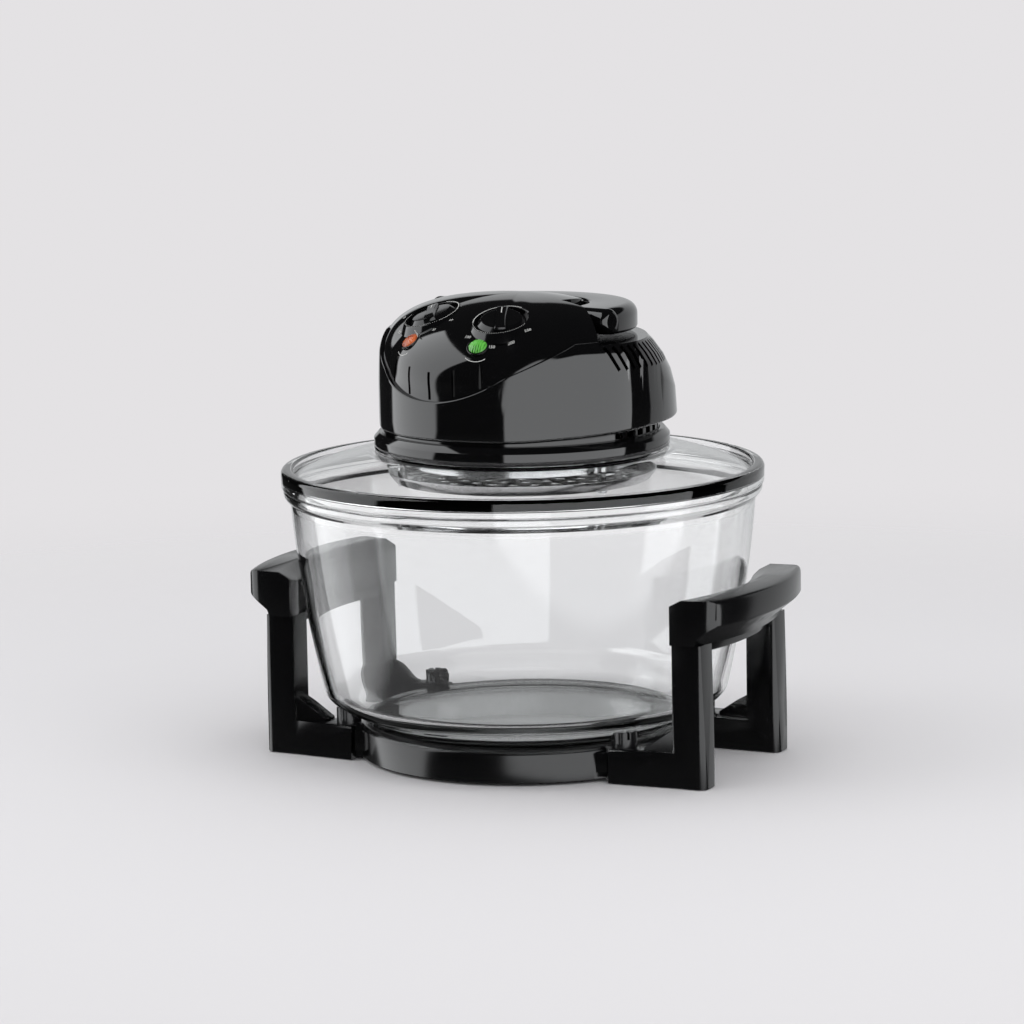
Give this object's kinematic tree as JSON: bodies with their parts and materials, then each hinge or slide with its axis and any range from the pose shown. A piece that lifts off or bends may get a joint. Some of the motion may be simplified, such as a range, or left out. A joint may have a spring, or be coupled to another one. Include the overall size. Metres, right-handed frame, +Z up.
{
  "type": "halogen oven",
  "caption": "Tabletop halogen oven: glass bowl in a black stand with two grips, and a glass lid that carries a domed heater head with dials, lamps and a carry handle.",
  "frame": {"origin": "on the table, under the bowl's axis", "axes": "+Z up, +X toward one grip, -Y toward the front, where the dials face within 14 degrees"},
  "size_m": [0.374, 0.3306, 0.3186],
  "materials": {
    "stand_plastic": "glossy black moulded plastic",
    "head_plastic": "high gloss black moulded plastic",
    "clear_glass": "clear tempered glass",
    "rubber": "matte black rubber",
    "screw_steel": "plain zinc-plated steel",
    "sheet_steel": "plain sheet steel",
    "bright_steel": "bright polished steel",
    "motor_steel": "laminated steel and plated cover",
    "bronze": "sintered bronze",
    "fan_plastic": "heat-proof moulded plastic",
    "switch_plastic": "off-white moulded plastic",
    "ceramic": "off-white steatite ceramic",
    "quartz": "clear quartz tube",
    "red_lens": "translucent orange-red lens",
    "green_lens": "translucent green lens"
  },
  "bodies": {
    "stand": {"base_ring": "stand_plastic", "frame_right": "stand_plastic", "frame_left": "stand_plastic", "grip_right": "stand_plastic", "grip_left": "stand_plastic", "locating_pegs": "stand_plastic", "rubber_pads": "rubber", "stand_screws": "screw_steel"},
    "bowl": {"glass_bowl": "clear_glass"},
    "lid": {"glass_lid": "clear_glass", "lid_gasket": "rubber", "head_flange": "head_plastic", "vent_neck": "head_plastic", "head_housing": "head_plastic", "timer_switch": "switch_plastic", "thermostat_switch": "ceramic", "power_lamp": "red_lens", "heat_lamp": "green_lens", "handle_pins": "screw_steel", "motor": "motor_steel", "motor_bracket": "sheet_steel", "shaft_bush": "bronze", "reflector_dish": "bright_steel", "lamp_holders": "ceramic", "halogen_tube": "quartz", "guard_tray": "bright_steel", "guard_posts": "screw_steel", "guard_screws": "screw_steel", "housing_screws": "screw_steel", "terminal_block": "switch_plastic", "cord_gland": "rubber"},
    "carry_handle": {"carry_handle": "head_plastic"},
    "timer_dial": {"timer_knob": "head_plastic"},
    "thermostat_dial": {"thermostat_knob": "head_plastic"},
    "fan": {"fan_shaft": "screw_steel", "cooling_fan": "fan_plastic", "hot_air_fan": "sheet_steel"}
  },
  "joints": [
    {"name": "bowl_lift", "type": "slide", "parent": "stand", "child": "bowl", "axis": [0, 0, 1], "range_m": [0, 0.2]},
    {"name": "lid_lift", "type": "slide", "parent": "bowl", "child": "lid", "axis": [0, 0, 1], "range_m": [0, 0.15]},
    {"name": "handle_swing", "type": "hinge", "parent": "lid", "child": "carry_handle", "pos_m": [0.00073, 0.00291, 0.3019], "axis": [0.9703, -0.2419, 0], "range_deg": [0, 90]},
    {"name": "timer_turn", "type": "hinge", "parent": "lid", "child": "timer_dial", "pos_m": [-0.04295, -0.04618, 0.30519], "axis": [-0.2441, -0.2624, 0.9336], "range_deg": [-300, 0]},
    {"name": "thermostat_turn", "type": "hinge", "parent": "lid", "child": "thermostat_dial", "pos_m": [0.01624, -0.06094, 0.30519], "axis": [0.0923, -0.3463, 0.9336], "range_deg": [-270, 0]},
    {"name": "fan_spin", "type": "hinge", "parent": "lid", "child": "fan", "pos_m": [0, 0, 0.2033], "axis": [0, 0, 1], "continuous": true}
  ]
}
